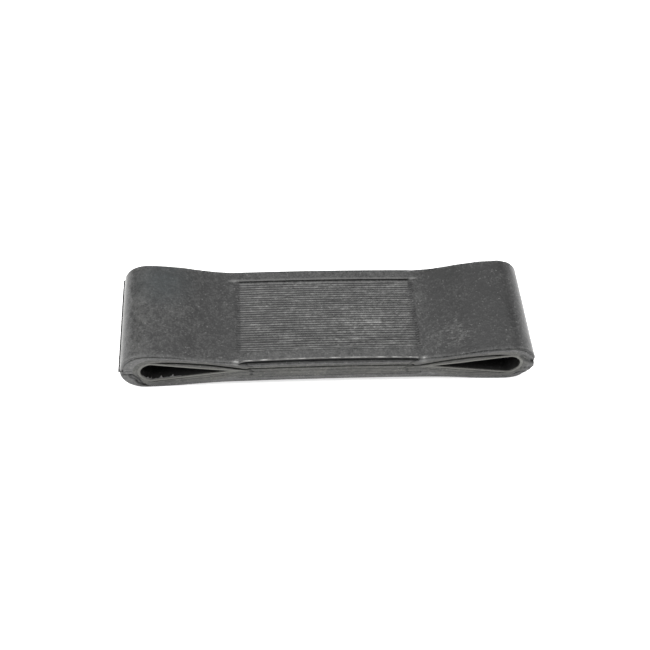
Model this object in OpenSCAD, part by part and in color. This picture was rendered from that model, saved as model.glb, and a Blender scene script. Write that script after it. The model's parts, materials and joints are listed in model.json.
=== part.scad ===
// Moulded rubber link: a fabric-reinforced loop pressed together at the waist,
// with an open teardrop eye at each end and a ribbed grip pad on top.
// Units mm, +X along the link, +Y across it, +Z up, origin at bottom centre.

/* [Overall] */
// Length over the two rubber noses, without the moulding flash
overall_l = 448; // [380:1:520]
// Width of the link across the eyes
overall_w = 125; // [100:1:150]

/* [Eyes] */
// Radius of the round end of each eye, where the pin bears
pin_r = 13; // [11:0.5:16]
// Rubber and fabric outside the round end of the left eye
wall_left = 22; // [18:0.5:26]
// Rubber and fabric outside the round end of the right eye
wall_right = 16; // [13:0.5:22]
// Distance from the eye axis to the crotch of the eye
eye_reach = 77; // [64:1:93]
// Thickness of the liner wrapped round each eye
liner_t = 3.8; // [3:0.1:5]

/* [Reinforcement] */
// Thickness of one fabric ply
ply_t = 0.8; // [0.6:0.05:1]
// Thickness of the skim rubber between two plies
skim_t = 0.3; // [0.2:0.05:0.4]
// Thickness of the centre filler between the two leaves
core_t = 5.5; // [4:0.5:8]
// Radius where the ply loop turns into the straight leaf
turn_r = 60; // [40:5:80]
// From the tail of a liner to where the plies run straight
turn_gap = 2.9; // [2:0.1:6]
// From the tail of a liner to the centre filler
tail_gap = 5; // [4:0.1:8]
// Thickness of the gum strips that close the ply edges
edge_t = 1.5; // [1:0.1:3]

/* [Cover] */
// Rubber above the plies over each eye
crown_top_t = 7; // [5:0.5:10]
// Rubber below the plies under each eye
crown_bottom_t = 5; // [4:0.5:8]
// Rubber above the plies at the waist, up to the lips
waist_top_t = 7.05; // [6:0.05:9]
// Rubber below the plies at the waist, cushion included
waist_bottom_t = 12.05; // [10:0.05:14]
// Corner radius of each nose
nose_r = 26; // [20:1:27]
// Distance from the nose tip to where the top starts to fall
crown_in = 21; // [16:1:26]
// How far the flat of the waist reaches over the bend of the plies
waist_lead = 4.9; // [2:0.1:8]
// Height of the moulding line above the eye axis
parting_up = 2.5; // [1:0.5:4]
// How far the moulding flash stands proud of each nose
flash_l = 1.5; // [0:0.1:3]
// Thickness of the moulding flash
flash_t = 0.8; // [0.5:0.1:1.5]
// Thickness of the cushion under the bottom leaf
cushion_t = 5; // [3:0.5:6]
// How far the cushion runs past the flat of the waist at each end
cushion_over = 8.5; // [0:0.5:15]

/* [Eye slits] */
// Open slit above the left liner
slit_left = 1.5; // [0.5:0.1:2]
// Open slit above the right liner
slit_right = 1; // [0.5:0.1:2]
// Where the filler above a liner starts, past the eye axis
filler_start = 16; // [15:0.5:30]

/* [Grip pad] */
// How far the pad runs past the flat of the waist at each end
pad_over = 3; // [0:0.5:5]
// Width of the smooth lip behind the pad
lip_back = 14; // [10:0.5:18]
// Width of the smooth lip in front of the pad
lip_front = 13.75; // [10:0.25:18]
// Distance between the grooves
groove_pitch = 3.175; // [2.6:0.005:3.9]
// Radius of each groove
groove_r = 1; // [0.6:0.1:1.2]
// Depth of the pad floor below the lips
pad_depth = 2; // [1:0.1:2.5]
// Length of the ramp at each end of the pad
pad_ramp = 5; // [2:0.5:8]
// Height of the slot under each lip
slot_h = 2; // [1:0.1:2.5]
// Depth of the slot under each lip
slot_d = 3.5; // [2:0.1:4.5]
// How far the lip stands back from the side of the link
lip_back_set = 2; // [0:0.1:3]

/* [Hidden] */
$fn = 480;
far = 400;

// How far beside its touching point one arc hands over to the next
graze = 1;

// Nearest whole micrometre, so that pieces drawn side by side meet exactly.
function grid(v) = round(v * 1000) / 1000;

half_l = overall_l / 2;
half_w = overall_w / 2;
left_x = -half_l + wall_left + pin_r;
right_x = half_l - wall_right - pin_r;
loop_r = pin_r + liner_t;
core_h = core_t / 2;
pitch_t = ply_t + skim_t;
plies = 5;
pack_t = plies * pitch_t - skim_t;
ply_half_w = half_w - edge_t;
eye_z = crown_bottom_t + pack_t + loop_r;
end_h = eye_z + loop_r + pack_t + crown_top_t;
waist_top = eye_z + core_h + pack_t + waist_top_t;
waist_bottom = eye_z - core_h - pack_t - waist_bottom_t;
parting_z = eye_z + parting_up;
// where the liners end, the plies straighten and the waist turns flat
eye_a = asin(pin_r / eye_reach);
tail_reach = loop_r / sin(eye_a);
turn_x = grid(tail_reach + turn_gap);
core_x0 = grid(left_x + tail_reach + tail_gap);
core_x1 = grid(right_x - tail_reach - tail_gap);
waist_in = grid(max(wall_left, wall_right) + pin_r + turn_x - waist_lead);
flat_half_l = half_l - waist_in;
cushion_half_l = flat_half_l + cushion_over;
// the flank arc of the plies, which meets the eye and the turning arc
flank_r = grid((turn_x * turn_x + pow(loop_r - core_h, 2)) / (2 * (loop_r - core_h)) - turn_r);
flank_z = loop_r - flank_r;
turn_z = core_h + turn_r;
// the ribbed pad and the slots beside it
pad_l = 2 * (flat_half_l + pad_over);
pad_floor = waist_top - pad_depth;
slot_top = pad_floor + 0.2;
pad_y0 = -half_w + lip_front;
pad_y1 = half_w - lip_back;
grooves = floor((pad_y1 - pad_y0 - 2) / groove_pitch + 0.001);
groove_y0 = (pad_y0 + pad_y1 - (grooves - 1) * groove_pitch) / 2;

// Where the flank arc hands over to the turning arc, d outside the inner ply face.
// It stands just short of where the arcs touch, because arcs that only graze make slivers.
function hand_over(d) = grid(turn_x * (flank_r + d) / (flank_r + turn_r) - graze);

// ---------- drawing helpers, drawn in X and Z and pulled across in Y ----------
module across(y0, y1) {
  translate([0, y1, 0]) rotate([90, 0, 0]) linear_extrude(height = y1 - y0) children();
}

module box2(x0, x1, z0, z1) {
  translate([x0, z0]) square([x1 - x0, z1 - z0]);
}

// The pieces of one end of a loop, drawn from its eye axis, d outside the inner ply face.
module end_round(d) {
  intersection() {
    circle(r = loop_r + d);
    box2(-far, 0, -far, far);
  }
}

module end_flank(d) {
  intersection() {
    translate([0, flank_z]) circle(r = flank_r + d);
    translate([0, -flank_z]) circle(r = flank_r + d);
    box2(0, hand_over(d), -far, far);
  }
}

module end_turn(d) {
  difference() {
    box2(hand_over(d), turn_x, -turn_r / 2, turn_r / 2);
    translate([turn_x, turn_z]) circle(r = turn_r - d);
    translate([turn_x, -turn_z]) circle(r = turn_r - d);
  }
}

// Half of the straight leaves, a little past the middle so that the two halves overlap.
module end_leaf(d) {
  box2(turn_x, (right_x - left_x) / 2 + 5, -core_h - d, core_h + d);
}

// Places a shape drawn for the left eye at the left (s = -1) or right (s = 1) eye.
module at_eye(s) {
  translate([s < 0 ? left_x : right_x, eye_z]) rotate(s < 0 ? 0 : 180) children();
}

// Everything inside a loop that runs d outside the inner ply face.
module loop_inside(d, y0, y1) {
  union() {
    for (s = [-1, 1]) {
      across(y0, y1) at_eye(s) end_round(d);
      across(y0, y1) at_eye(s) end_flank(d);
      across(y0, y1) at_eye(s) end_turn(d);
      across(y0, y1) at_eye(s) end_leaf(d);
    }
  }
}

module band(d0, d1, y0, y1) {
  difference() {
    loop_inside(d1, y0, y1);
    loop_inside(d0, y0 - 1, y1 + 1);
  }
}

// Teardrop of radius r about an eye axis, its crotch reaching toward +X.
module teardrop(r) {
  x = r * sin(eye_a);
  z = r * cos(eye_a);
  union() {
    difference() {
      circle(r = r);
      polygon([[0, 0], [x, -z], [2 * r, -2 * r], [2 * r, 2 * r], [x, z]]);
    }
    polygon([[0, 0], [x, -z], [r / sin(eye_a), 0], [x, z]]);
  }
}

// A box in X and Z whose X limits may be given in either order.
module slice2(xa, xb, z0, z1) {
  box2(min(xa, xb), max(xa, xb), z0, z1);
}

// Outside of one end (s = -1 left, 1 right) from its nose tip to the middle, up from z = 0.
module flare(s, height, drop) {
  run = waist_in - crown_in;
  r = grid((run * run / 4 + drop * drop / 4) / drop);
  lift = height - nose_r;
  // tangent point between the nose corner and the flare
  off = nose_r - crown_in;
  d = r - nose_r;
  cz = grid(height - nose_r - sqrt(d * d - off * off));
  rim = cz + r;
  fall = rim - (height - drop);
  reach = 2 * grid(sqrt(4 * r * r - pow(2 * r - fall, 2)) / 2);
  tangent_x = s * grid(half_l - nose_r - nose_r * off / d + graze);
  crown_x = s * (half_l - crown_in);
  middle_x = s * (half_l - crown_in - reach / 2 + 1.5 * graze);
  waist_x = s * (half_l - crown_in - reach);
  across(-half_w, half_w) intersection() {
    translate([s * (half_l - nose_r), lift]) circle(r = nose_r);
    slice2(s * far, tangent_x, lift, far);
  }
  across(-half_w, half_w) slice2(s * half_l, tangent_x, 0, lift);
  across(-half_w, half_w) intersection() {
    translate([crown_x, cz]) circle(r = r);
    slice2(tangent_x, middle_x, 0, far);
  }
  across(-half_w, half_w) difference() {
    slice2(middle_x, waist_x, 0, rim - fall / 4);
    translate([waist_x, height - drop + r]) circle(r = r);
  }
  across(-half_w, half_w) slice2(waist_x, 0, 0, height - drop);
}

module outside_top() {
  translate([0, 0, parting_z]) union() {
    flare(-1, end_h - parting_z, end_h - waist_top);
    flare(1, end_h - parting_z, end_h - waist_top);
  }
}

module outside_bottom() {
  translate([0, 0, parting_z]) mirror([0, 0, 1]) union() {
    flare(-1, parting_z, waist_bottom);
    flare(1, parting_z, waist_bottom);
  }
}

// ---------- the covers ----------
module flash(s) {
  across(-half_w, half_w)
    slice2(s * (half_l - 3), s * (half_l + flash_l), parting_z, parting_z + flash_t);
}

module pad_hollow() {
  across(pad_y0, pad_y1) polygon([
    [-pad_l / 2, pad_floor], [pad_l / 2, pad_floor],
    [pad_l / 2 + 3 * pad_ramp, pad_floor + 3 * pad_depth],
    [-pad_l / 2 - 3 * pad_ramp, pad_floor + 3 * pad_depth]]);
  for (i = [0 : grooves - 1])
    translate([-pad_l / 2, groove_y0 + i * groove_pitch, pad_floor])
      rotate([0, 90, 0]) cylinder(h = pad_l, r = groove_r, $fn = 72);
}

module lip_slot(y0, y1, lip0, lip1) {
  x = pad_l / 2 + 4;
  across(y0, y1) box2(-x, x, slot_top - slot_h, slot_top);
  across(lip0, lip1) box2(-x, x, slot_top - slot_h, end_h);
}

module cover_top() {
  color("#545454") difference() {
    union() {
      outside_top();
      flash(-1);
      flash(1);
    }
    loop_inside(pack_t, -half_w - 1, half_w + 1);
    pad_hollow();
    lip_slot(-half_w - 1, -half_w + slot_d, -half_w - 1, -half_w + lip_back_set);
    lip_slot(half_w - slot_d, half_w + 1, half_w - lip_back_set, half_w + 1);
  }
}

module cushion_block(y0, y1) {
  leaf_z = eye_z - core_h - pack_t;
  across(y0, y1) box2(-cushion_half_l, cushion_half_l, leaf_z - cushion_t, leaf_z);
}

module cover_bottom() {
  color("#525252") difference() {
    outside_bottom();
    loop_inside(pack_t, -half_w - 1, half_w + 1);
    cushion_block(-half_w - 1, half_w + 1);
  }
}

module cushion_bottom() {
  color("#5a5a58") difference() {
    cushion_block(-half_w, half_w);
    loop_inside(pack_t, -half_w - 1, half_w + 1);
  }
}

// ---------- the reinforcement ----------
module edge_gum_front() {
  color("#636361") band(0, pack_t, -half_w, -ply_half_w);
}

module edge_gum_back() {
  color("#636361") band(0, pack_t, ply_half_w, half_w);
}

module ply(n) {
  color("#8d8471")
    band((n - 1) * pitch_t, (n - 1) * pitch_t + ply_t, -ply_half_w, ply_half_w);
}

module skim(n) {
  color("#444444") band(n * pitch_t - skim_t, n * pitch_t, -ply_half_w, ply_half_w);
}

module ply_1() {
  ply(1);
}

module ply_2() {
  ply(2);
}

module ply_3() {
  ply(3);
}

module ply_4() {
  ply(4);
}

module ply_5() {
  ply(5);
}

module skim_1() {
  skim(1);
}

module skim_2() {
  skim(2);
}

module skim_3() {
  skim(3);
}

module skim_4() {
  skim(4);
}

// ---------- between the two leaves ----------
module centre_filler() {
  color("#4c4c4c") across(-half_w, half_w)
    box2(core_x0, core_x1, eye_z - core_h, eye_z + core_h);
}

module liner(s) {
  color("#6b6b69") difference() {
    across(-half_w, half_w) at_eye(s) teardrop(loop_r);
    across(-half_w - 1, half_w + 1) at_eye(s) teardrop(pin_r);
  }
}

module liner_left() {
  liner(-1);
}

module liner_right() {
  liner(1);
}

// Rubber between a liner and the plies, above (up = 1) or below (up = -1) the eye axis.
module filler(s, up, slit) {
  start = (s < 0 ? left_x : right_x) - s * (up > 0 ? filler_start : 0);
  color("#4c4c4c") difference() {
    intersection() {
      loop_inside(-slit, -half_w, half_w);
      across(-half_w - 1, half_w + 1) slice2(s < 0 ? core_x0 : core_x1, start,
        up > 0 ? eye_z : 0, up > 0 ? far : eye_z);
    }
    across(-half_w - 1, half_w + 1) at_eye(s) teardrop(loop_r);
  }
}

module filler_left_top() {
  filler(-1, 1, slit_left);
}

module filler_left_bottom() {
  filler(-1, -1, 0);
}

module filler_right_top() {
  filler(1, 1, slit_right);
}

module filler_right_bottom() {
  filler(1, -1, 0);
}

cover_top();
cover_bottom();
cushion_bottom();
edge_gum_front();
edge_gum_back();
ply_1();
ply_2();
ply_3();
ply_4();
ply_5();
skim_1();
skim_2();
skim_3();
skim_4();
centre_filler();
liner_left();
liner_right();
filler_left_top();
filler_left_bottom();
filler_right_top();
filler_right_bottom();
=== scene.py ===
import json
import math

import bmesh
import bpy
from bpy.props import FloatProperty, FloatVectorProperty, PointerProperty, StringProperty
from mathutils import Matrix, Vector, noise


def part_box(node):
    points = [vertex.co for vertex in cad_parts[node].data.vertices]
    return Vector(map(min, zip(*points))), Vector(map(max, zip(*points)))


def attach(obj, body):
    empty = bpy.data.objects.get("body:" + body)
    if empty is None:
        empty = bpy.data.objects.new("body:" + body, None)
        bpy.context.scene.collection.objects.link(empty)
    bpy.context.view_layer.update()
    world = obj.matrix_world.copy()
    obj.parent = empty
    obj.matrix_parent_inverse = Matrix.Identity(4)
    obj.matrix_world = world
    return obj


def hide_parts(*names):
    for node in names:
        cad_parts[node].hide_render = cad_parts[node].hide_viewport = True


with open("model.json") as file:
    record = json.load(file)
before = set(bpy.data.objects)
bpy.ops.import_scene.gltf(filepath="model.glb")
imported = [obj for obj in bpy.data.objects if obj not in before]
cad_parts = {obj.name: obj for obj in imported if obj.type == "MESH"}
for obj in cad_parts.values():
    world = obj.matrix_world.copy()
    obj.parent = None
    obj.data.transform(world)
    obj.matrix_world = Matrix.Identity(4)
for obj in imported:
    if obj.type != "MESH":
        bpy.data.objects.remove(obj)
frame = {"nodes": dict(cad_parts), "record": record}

bl_info = {
    "name": "Moulded Rubber Link",
    "version": (1, 0, 0),
    "blender": (4, 5, 0),
    "location": "View3D > Sidebar > Rubber Link",
    "description": "Builds the covers, liners and layers of a moulded rubber link",
    "category": "Object",
}

MM = 0.001
MERGE_MM = 1e-4
SHARP_EDGE = math.radians(50)
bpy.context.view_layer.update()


# ---------------------------------------------------------------- the frame

def box_mm(node):
    """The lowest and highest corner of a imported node, in millimetres."""
    low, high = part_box(node)
    return low / MM, high / MM


def mount(name):
    """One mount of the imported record."""
    return next(m for m in frame["record"]["mounts"] if m["name"] == name)


EDGE_LOW, EDGE_HIGH = box_mm("edge_gum_front")
CORE_LOW, CORE_HIGH = box_mm("centre_filler")
TOP_LOW, TOP_HIGH = box_mm("cover_top")
BODY_HIGH = box_mm("cover_bottom")[1]
LINER_LOW, LINER_HIGH = box_mm("liner_left")

HALF_L = BODY_HIGH.x
HALF_W = BODY_HIGH.y
END_H = TOP_HIGH.z
PARTING_Z = TOP_LOW.z
FLASH_L = TOP_HIGH.x - HALF_L
PACK_R = (EDGE_HIGH.z - EDGE_LOW.z) / 2
EYE_Z = (EDGE_HIGH.z + EDGE_LOW.z) / 2
LEFT_X = EDGE_LOW.x + PACK_R
RIGHT_X = EDGE_HIGH.x - PACK_R
LOOP_R = (LINER_HIGH.z - LINER_LOW.z) / 2
PACK_T = PACK_R - LOOP_R
EDGE_T = EDGE_HIGH.y - EDGE_LOW.y
PIN_R = mount("eye_left")["dims"]["r_mm"]
TAIL_REACH = LINER_HIGH.x - LEFT_X
EYE_A = math.asin(LOOP_R / TAIL_REACH)
CORE_H = (CORE_HIGH.z - CORE_LOW.z) / 2
WAIST_TOP = mount("pad_lip_front")["pos_m"][2] / MM
WAIST_BOTTOM = mount("waist_under")["pos_m"][2] / MM
CUSHION_LOW, CUSHION_HIGH = box_mm("cushion_bottom")
CREASED_Y = 1.2 - HALF_W  # points in front of this belong to the front face


# ---------------------------------------------------------------- sizes a user may change

def length(title, text, default):
    """A size in millimetres."""
    return FloatProperty(name=title, description=text, default=default, unit="NONE")


def colour(title, text, default):
    """A colour given as an sRGB hex value."""
    return StringProperty(name=title, description=text, default=default)


class RubberLinkShape(bpy.types.PropertyGroup):
    nose_r: length("Nose radius", "Corner radius of each nose, mm", 26.0)
    crown_in: length("Crown", "From the nose tip to where the top starts to fall, mm", 21.0)
    waist_in: length("Waist", "From the nose tip to where the waist is flat, mm", 132.5)
    turn_r: length("Ply turn", "Radius where the plies turn into the straight leaf, mm", 60.0)
    turn_gap: length("Turn gap", "From the tail of a liner to where the plies run straight, mm", 2.9)
    bow: length("Bow", "Rise of the waist at mid length, mm", 1.06)
    sag: length("Sag", "Fall of the waist at its two ends, mm", 0.72)
    shoulder: length("Shoulder", "Radius along the top edges at the ends, mm", 1.8)
    lip_round: length("Lip edge", "Radius along the edges of the lips, mm", 0.8)
    left_short: length("Left shrink", "How much shorter the left end came out, mm", 1.2)
    right_long: length("Right growth", "How much longer the right end came out, mm", 0.9)
    eye_sag: length("Eye sag", "How much lower the floor of an eye lies, mm", 1.2)
    eye_point: length("Eye point", "How much further the point of an eye is open, mm", 4.6)


class RubberLinkPad(bpy.types.PropertyGroup):
    pad_half_l: length("Pad half length", "Half length of the ribbed floor, mm", 94.5)
    ramp: length("Ramp", "Length of the ramp at each end of the pad, mm", 7.0)
    front_y: length("Front wall", "Where the pad starts, mm", -48.75)
    back_y: length("Back wall", "Where the pad ends, mm", 48.5)
    depth: length("Depth", "Depth of the pad floor below the lips, mm", 1.8)
    pitch: length("Rib pitch", "Distance between the ribs, mm", 3.175)
    rib_h: length("Rib height", "Height of the ribs above their grooves, mm", 0.9)
    lip_back: length("Lip set back", "How far the front lip stands back from the side, mm", 2.2)
    slot_d: length("Slot depth", "Depth of the slot under the lip, mm", 3.4)


class RubberLinkColours(bpy.types.PropertyGroup):
    cover: colour("Cover rubber", "Moulded cover rubber, sRGB hex", "141414")
    cover_pale: colour("Bloomed rubber", "Cover rubber where the bloom is paler, sRGB hex", "515150")
    bloom: colour("Bloom", "Bluish sulphur bloom near the back left corner, sRGB hex", "262e30")
    edge: colour("Edge gum", "Rubber of the strips along the sides, sRGB hex", "1c1c1b")
    # Near black, darker than the liner rubber itself, so that the insides of the eyes show painted
    # shade.
    liner: colour("Liner rubber", "Rubber of the eye liners, sRGB hex", "0c0c0b")
    filler: colour("Filler rubber", "Rubber between the leaves, sRGB hex", "22221f")
    side_pale: colour("Bloomed sides", "Rubber of the sides where it is paler, sRGB hex", "52524d")
    ply: colour("Ply fabric", "Coated woven polyester, sRGB hex", "8d8471")
    skim: colour("Skim rubber", "Rubber between the plies, sRGB hex", "2c2c2c")
    floor: colour("Floor", "Studio floor, sRGB hex", "f6f6f6")


class RubberLinkStage(bpy.types.PropertyGroup):
    azimuth: FloatProperty(
        name="Azimuth", description="Turn of the camera round the link, degrees", default=-8.15)
    elevation: FloatProperty(
        name="Elevation", description="Height of the camera over the link, degrees", default=52.68)
    roll: FloatProperty(name="Roll", description="Tilt of the camera, degrees", default=5.33)
    distance: length("Distance", "From the camera to the link, mm", 1153.6)
    lens: length("Lens", "Focal length, mm", 57.61)
    target: FloatVectorProperty(
        name="Target", description="Point the camera looks at, mm", default=(-1.06, -4.64, 28.0))


def shape():
    """The sizes of the link."""
    return bpy.context.scene.rubber_link_shape


def pad():
    """The sizes of the ribbed pad."""
    return bpy.context.scene.rubber_link_pad


def hexes():
    """The colours, as sRGB hex values."""
    return bpy.context.scene.rubber_link_colours


# ---------------------------------------------------------------- outlines

def eased(value, start, end):
    """0 up to start, 1 from end on, and a soft step between them."""
    t = min(1.0, max(0.0, (value - start) / (end - start)))
    return t * t * (3 - 2 * t)


def bump(value, middle, width):
    """1 at middle, fading to 0 within a few widths on both sides."""
    return math.exp(-((value - middle) / width) ** 2)


def patch(x, y, cx, cy, rx, ry):
    """1 in the middle of an oval, fading to 0 past its rim."""
    return bump(x, cx, rx) * bump(y, cy, ry)


def uneven(x, y, z):
    """A smooth random value, between about -1 and 1, for this place in noise space."""
    return noise.noise(Vector((x, y, z)))


def spread(a, b, count):
    """count + 1 even values from a to b."""
    return [a + (b - a) * k / count for k in range(count + 1)]


class Loop:
    """The endless path of the plies: round each eye, along a bulged flank and down a turning arc."""

    def __init__(self):
        self.turn_r = shape().turn_r
        self.turn_x = TAIL_REACH + shape().turn_gap
        rise = LOOP_R - CORE_H
        self.flank_r = (self.turn_x ** 2 + rise ** 2) / (2 * rise) - self.turn_r
        self.flank_z = LOOP_R - self.flank_r
        self.turn_z = CORE_H + self.turn_r

    def half(self, x, d):
        """Half height at x of the path that runs d outside the inner ply face."""
        u = x - LEFT_X if x < (LEFT_X + RIGHT_X) / 2 else RIGHT_X - x
        hand_over = self.turn_x * (self.flank_r + d) / (self.flank_r + self.turn_r)
        if u <= 0:
            return math.sqrt(max(0.0, (LOOP_R + d) ** 2 - u * u))
        if u < hand_over:
            return self.flank_z + math.sqrt((self.flank_r + d) ** 2 - u * u)
        if u < self.turn_x:
            return self.turn_z - math.sqrt((self.turn_r - d) ** 2 - (self.turn_x - u) ** 2)
        return CORE_H + d

    def round_end(self, side, d, angles):
        """Points round an eye, from its nose (0) to its crown (90 degrees)."""
        axis = LEFT_X if side < 0 else RIGHT_X
        r = LOOP_R + d
        return [(axis + side * r * math.cos(a), r * math.sin(a)) for a in angles]


class Outside:
    """The outside of the covers, measured up or down from the moulding line."""

    def __init__(self, height, drop):
        s = shape()
        self.height, self.drop, self.nose_r = height, drop, s.nose_r
        run = s.waist_in - s.crown_in
        self.r = (run * run + drop * drop) / (4 * drop)
        self.crown_in, self.waist_in = s.crown_in, s.waist_in
        off = s.nose_r - s.crown_in
        self.cz = height - s.nose_r - math.sqrt((self.r - s.nose_r) ** 2 - off * off)

    def rise(self, x):
        """Height of the outside at x."""
        u = HALF_L - abs(x)
        lift = self.height - self.nose_r
        if u < self.crown_in:
            return lift + math.sqrt(max(0.0, self.nose_r ** 2 - (self.nose_r - u) ** 2))
        middle = (self.crown_in + self.waist_in) / 2
        if u < middle:
            return self.cz + math.sqrt(self.r ** 2 - (u - self.crown_in) ** 2)
        if u < self.waist_in:
            floor = self.height - self.drop + self.r
            return floor - math.sqrt(self.r ** 2 - (self.waist_in - u) ** 2)
        return self.height - self.drop


def waist(x):
    """1 along the waist, fading to 0 at the crowns."""
    s = shape()
    return eased(HALF_L - abs(x), s.crown_in, s.waist_in)


# Where the change in length of each end starts and where it is full, mm from the middle.
LEFT_SET = (150, 190)
RIGHT_SET = (200, 222)


def settled(p):
    """A point after the bow of the moulding, which lifts its waist, and the set of its two ends."""
    s = shape()
    flat = HALF_L - s.waist_in
    lift = s.bow * max(0.0, 1 - (p.x / flat) ** 2) - s.sag * waist(p.x)
    short = s.left_short * eased(-p.x, *LEFT_SET)
    long = s.right_long * eased(p.x, *RIGHT_SET)
    return Vector((p.x + short + long, p.y, p.z + lift))


# Creases in the front face: depth and width in mm, then the (x, z) places they run through.
CREASES = [
    # the knit line of the left nose, where the rubber met in the mould
    (1.3, 0.9, [(-221.5, 25.2), (-217.6, 24.0), (-211.4, 23.6), (-206.2, 18.4), (-202.2, 7.8)]),
    (0.5, 0.9, [(-221.0, 28.0), (-218.5, 30.0), (-209.4, 30.9)]),
    (1.5, 1.0, [(-214.5, 20.5), (-209.5, 16.0), (-206.5, 9.5), (-199.5, 5.0)]),
    (0.8, 0.9, [(-209.0, 12.5), (-205.0, 6.5), (-196.0, 3.0)]),
    # where the tails of the liners cross the long seam
    (1.4, 0.9, [(-88.0, 37.5), (-84.5, 34.0), (-86.5, 28.5), (-82.5, 24.5), (-84.0, 18.5)]),
    (1.2, 0.9, [(92.0, 37.5), (87.5, 35.0), (90.0, 29.5), (83.5, 26.5), (86.0, 18.0)]),
    # tears in the right nose
    (1.6, 2.6, [(209.0, 41.5), (213.0, 37.0), (217.0, 34.0), (223.5, 31.0)]),
    (0.9, 0.8, [(211.2, 19.2), (222.2, 20.5)]),
    (0.9, 0.9, [(207.0, 9.5), (211.2, 12.1), (217.0, 12.5)]),
]

RAISED_RIM = 0.2  # height of the lip that a crease pushes up beside it, mm
SEAM_DEPTH = 1.2
SEAM_WIDTH = 0.7
SLIT_DEPTH = 1.5
SLIT_WIDTH = 0.9
SLIT_START = 2  # from the axis of an eye to the start of the slit above it, mm

# Steps in the tear of the right nose: height, how far the rubber stands out and half height, mm.
TEAR_STEPS = [(38.3, 0.3, 2.0), (31.5, -1.4, 2.6), (22.8, 1.0, 1.6)]
# The flat tear below them: a place on it, and the way that it faces.
CUT_AT = Vector((225.3, 0, 20.8))
CUT_OUT = Vector((0.76, 0, -0.65))


def off_line(x, z, line):
    """Distance from a place on the front face to a crease."""
    best = 1e9
    for (x0, z0), (x1, z1) in zip(line, line[1:]):
        run = (x1 - x0) ** 2 + (z1 - z0) ** 2
        t = min(1.0, max(0.0, ((x - x0) * (x1 - x0) + (z - z0) * (z1 - z0)) / run))
        best = min(best, math.hypot(x - x0 - t * (x1 - x0), z - z0 - t * (z1 - z0)))
    return best


def by_slit(x, z):
    """1 along the inner edge of the plies above a liner, where a slit is left open."""
    u = x - LEFT_X if x < 0 else RIGHT_X - x
    if z < EYE_Z or u < SLIT_START or u > TAIL_REACH:
        return 0.0
    ends = eased(u, SLIT_START, SLIT_START + 14) * eased(TAIL_REACH - u, 0, 12)
    return ends * bump(z - EYE_Z - Loop().half(x, 0.0), 0, SLIT_WIDTH)


def crease(x, z):
    """Depth of the creases, the long seam and the slits at a place on the front face."""
    depth = 0.0
    for deep, width, line in CREASES:
        away = off_line(x, z, line) / width
        if away < 3:
            rough = 1 + 0.6 * uneven(x * 0.5, z * 0.5, 7)
            depth += deep * rough * bump(away, 0, 1) - RAISED_RIM * bump(away, 2, 0.5)
    if CORE_LOW.x - 2 < x < CORE_HIGH.x + 2:
        wander = 0.55 * uneven(x * 0.05, 0, 2) + 0.2 * uneven(x * 0.3, 0, 5)
        seam_z = EYE_Z + CORE_H + 0.3 + wander
        depth += SEAM_DEPTH * bump(z, seam_z, SEAM_WIDTH)
    return depth + SLIT_DEPTH * by_slit(x, z)


def torn(p):
    """A point after the front corner of the right nose lost some rubber and kept some flash."""
    centre = Vector((HALF_L - shape().nose_r, 0, PARTING_Z - 1.5))
    arm = Vector((p.x - centre.x, 0, p.z - centre.z))
    near = eased(-HALF_W - p.y, -10, 0) * eased(arm.length, 19, 24)
    if p.x < centre.x or near <= 0:
        return p
    proud = sum(step * bump(p.z, z, width) for z, step, width in TEAR_STEPS)
    proud += 0.35 * uneven(p.z * 0.6, p.y * 0.4, 3)
    over = (p - CUT_AT).dot(CUT_OUT)
    cut = CUT_OUT * max(0.0, over + 0.3 * uneven(p.z * 0.8, p.y * 0.5, 6))
    return p + (arm.normalized() * proud - cut) * near


# ---------------------------------------------------------------- mesh building

CREASE_SHADE = 1.1  # painted shade: fall of the tone per mm of a crease's depth


def lofted(name, along, around, place, closed=False, shade=None):
    """A closed skin drawn on a grid: along stations, each a ring of around points.

    place(i, j) gives the place and the tone of a point, and shade adds to the tone. A tone below 0
    makes the rubber darker, which in slots, grooves, creases, slits and eyes is painted shade; one
    above 0 makes it paler, with bloom and with painted highlights; and a high one turns it pale,
    with wear and with painted highlights and reflections.
    """
    bm = bmesh.new()
    tone = bm.verts.layers.float.new("tone")
    bmesh.ops.create_grid(bm, x_segments=along, y_segments=around, size=0.5)
    for v in bm.verts:
        i = round((v.co.x + 0.5) * along)
        j = round((v.co.y + 0.5) * around) % around
        p, own = place(0 if closed and i == along else i, j)
        v[tone] = own + (shade(p) if shade else 0.0)
        if p.y < CREASED_Y:
            # painted shade in the creases, the seam and the slits, darker where they are deeper
            deep = crease(p.x, p.z)
            v[tone] -= deep * CREASE_SHADE
            p.y += deep
        v.co = settled(torn(p))
    bmesh.ops.remove_doubles(bm, verts=bm.verts, dist=MERGE_MM)
    open_edges = [e for e in bm.edges if e.is_boundary]
    if open_edges:
        bmesh.ops.holes_fill(bm, edges=open_edges, sides=0)
    bmesh.ops.recalc_face_normals(bm, faces=bm.faces)
    bmesh.ops.scale(bm, vec=(MM, MM, MM), verts=bm.verts)
    for f in bm.faces:
        f.smooth = True
    return placed(name, bm)


def placed(name, bm):
    """Links a finished bmesh, whose place is in its vertices, to the scene."""
    mesh = bpy.data.meshes.new(name)
    bm.to_mesh(mesh)
    bm.free()
    mesh.set_sharp_from_angle(angle=SHARP_EDGE)
    obj = bpy.data.objects.new(name, mesh)
    bpy.context.scene.collection.objects.link(obj)
    return obj


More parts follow.
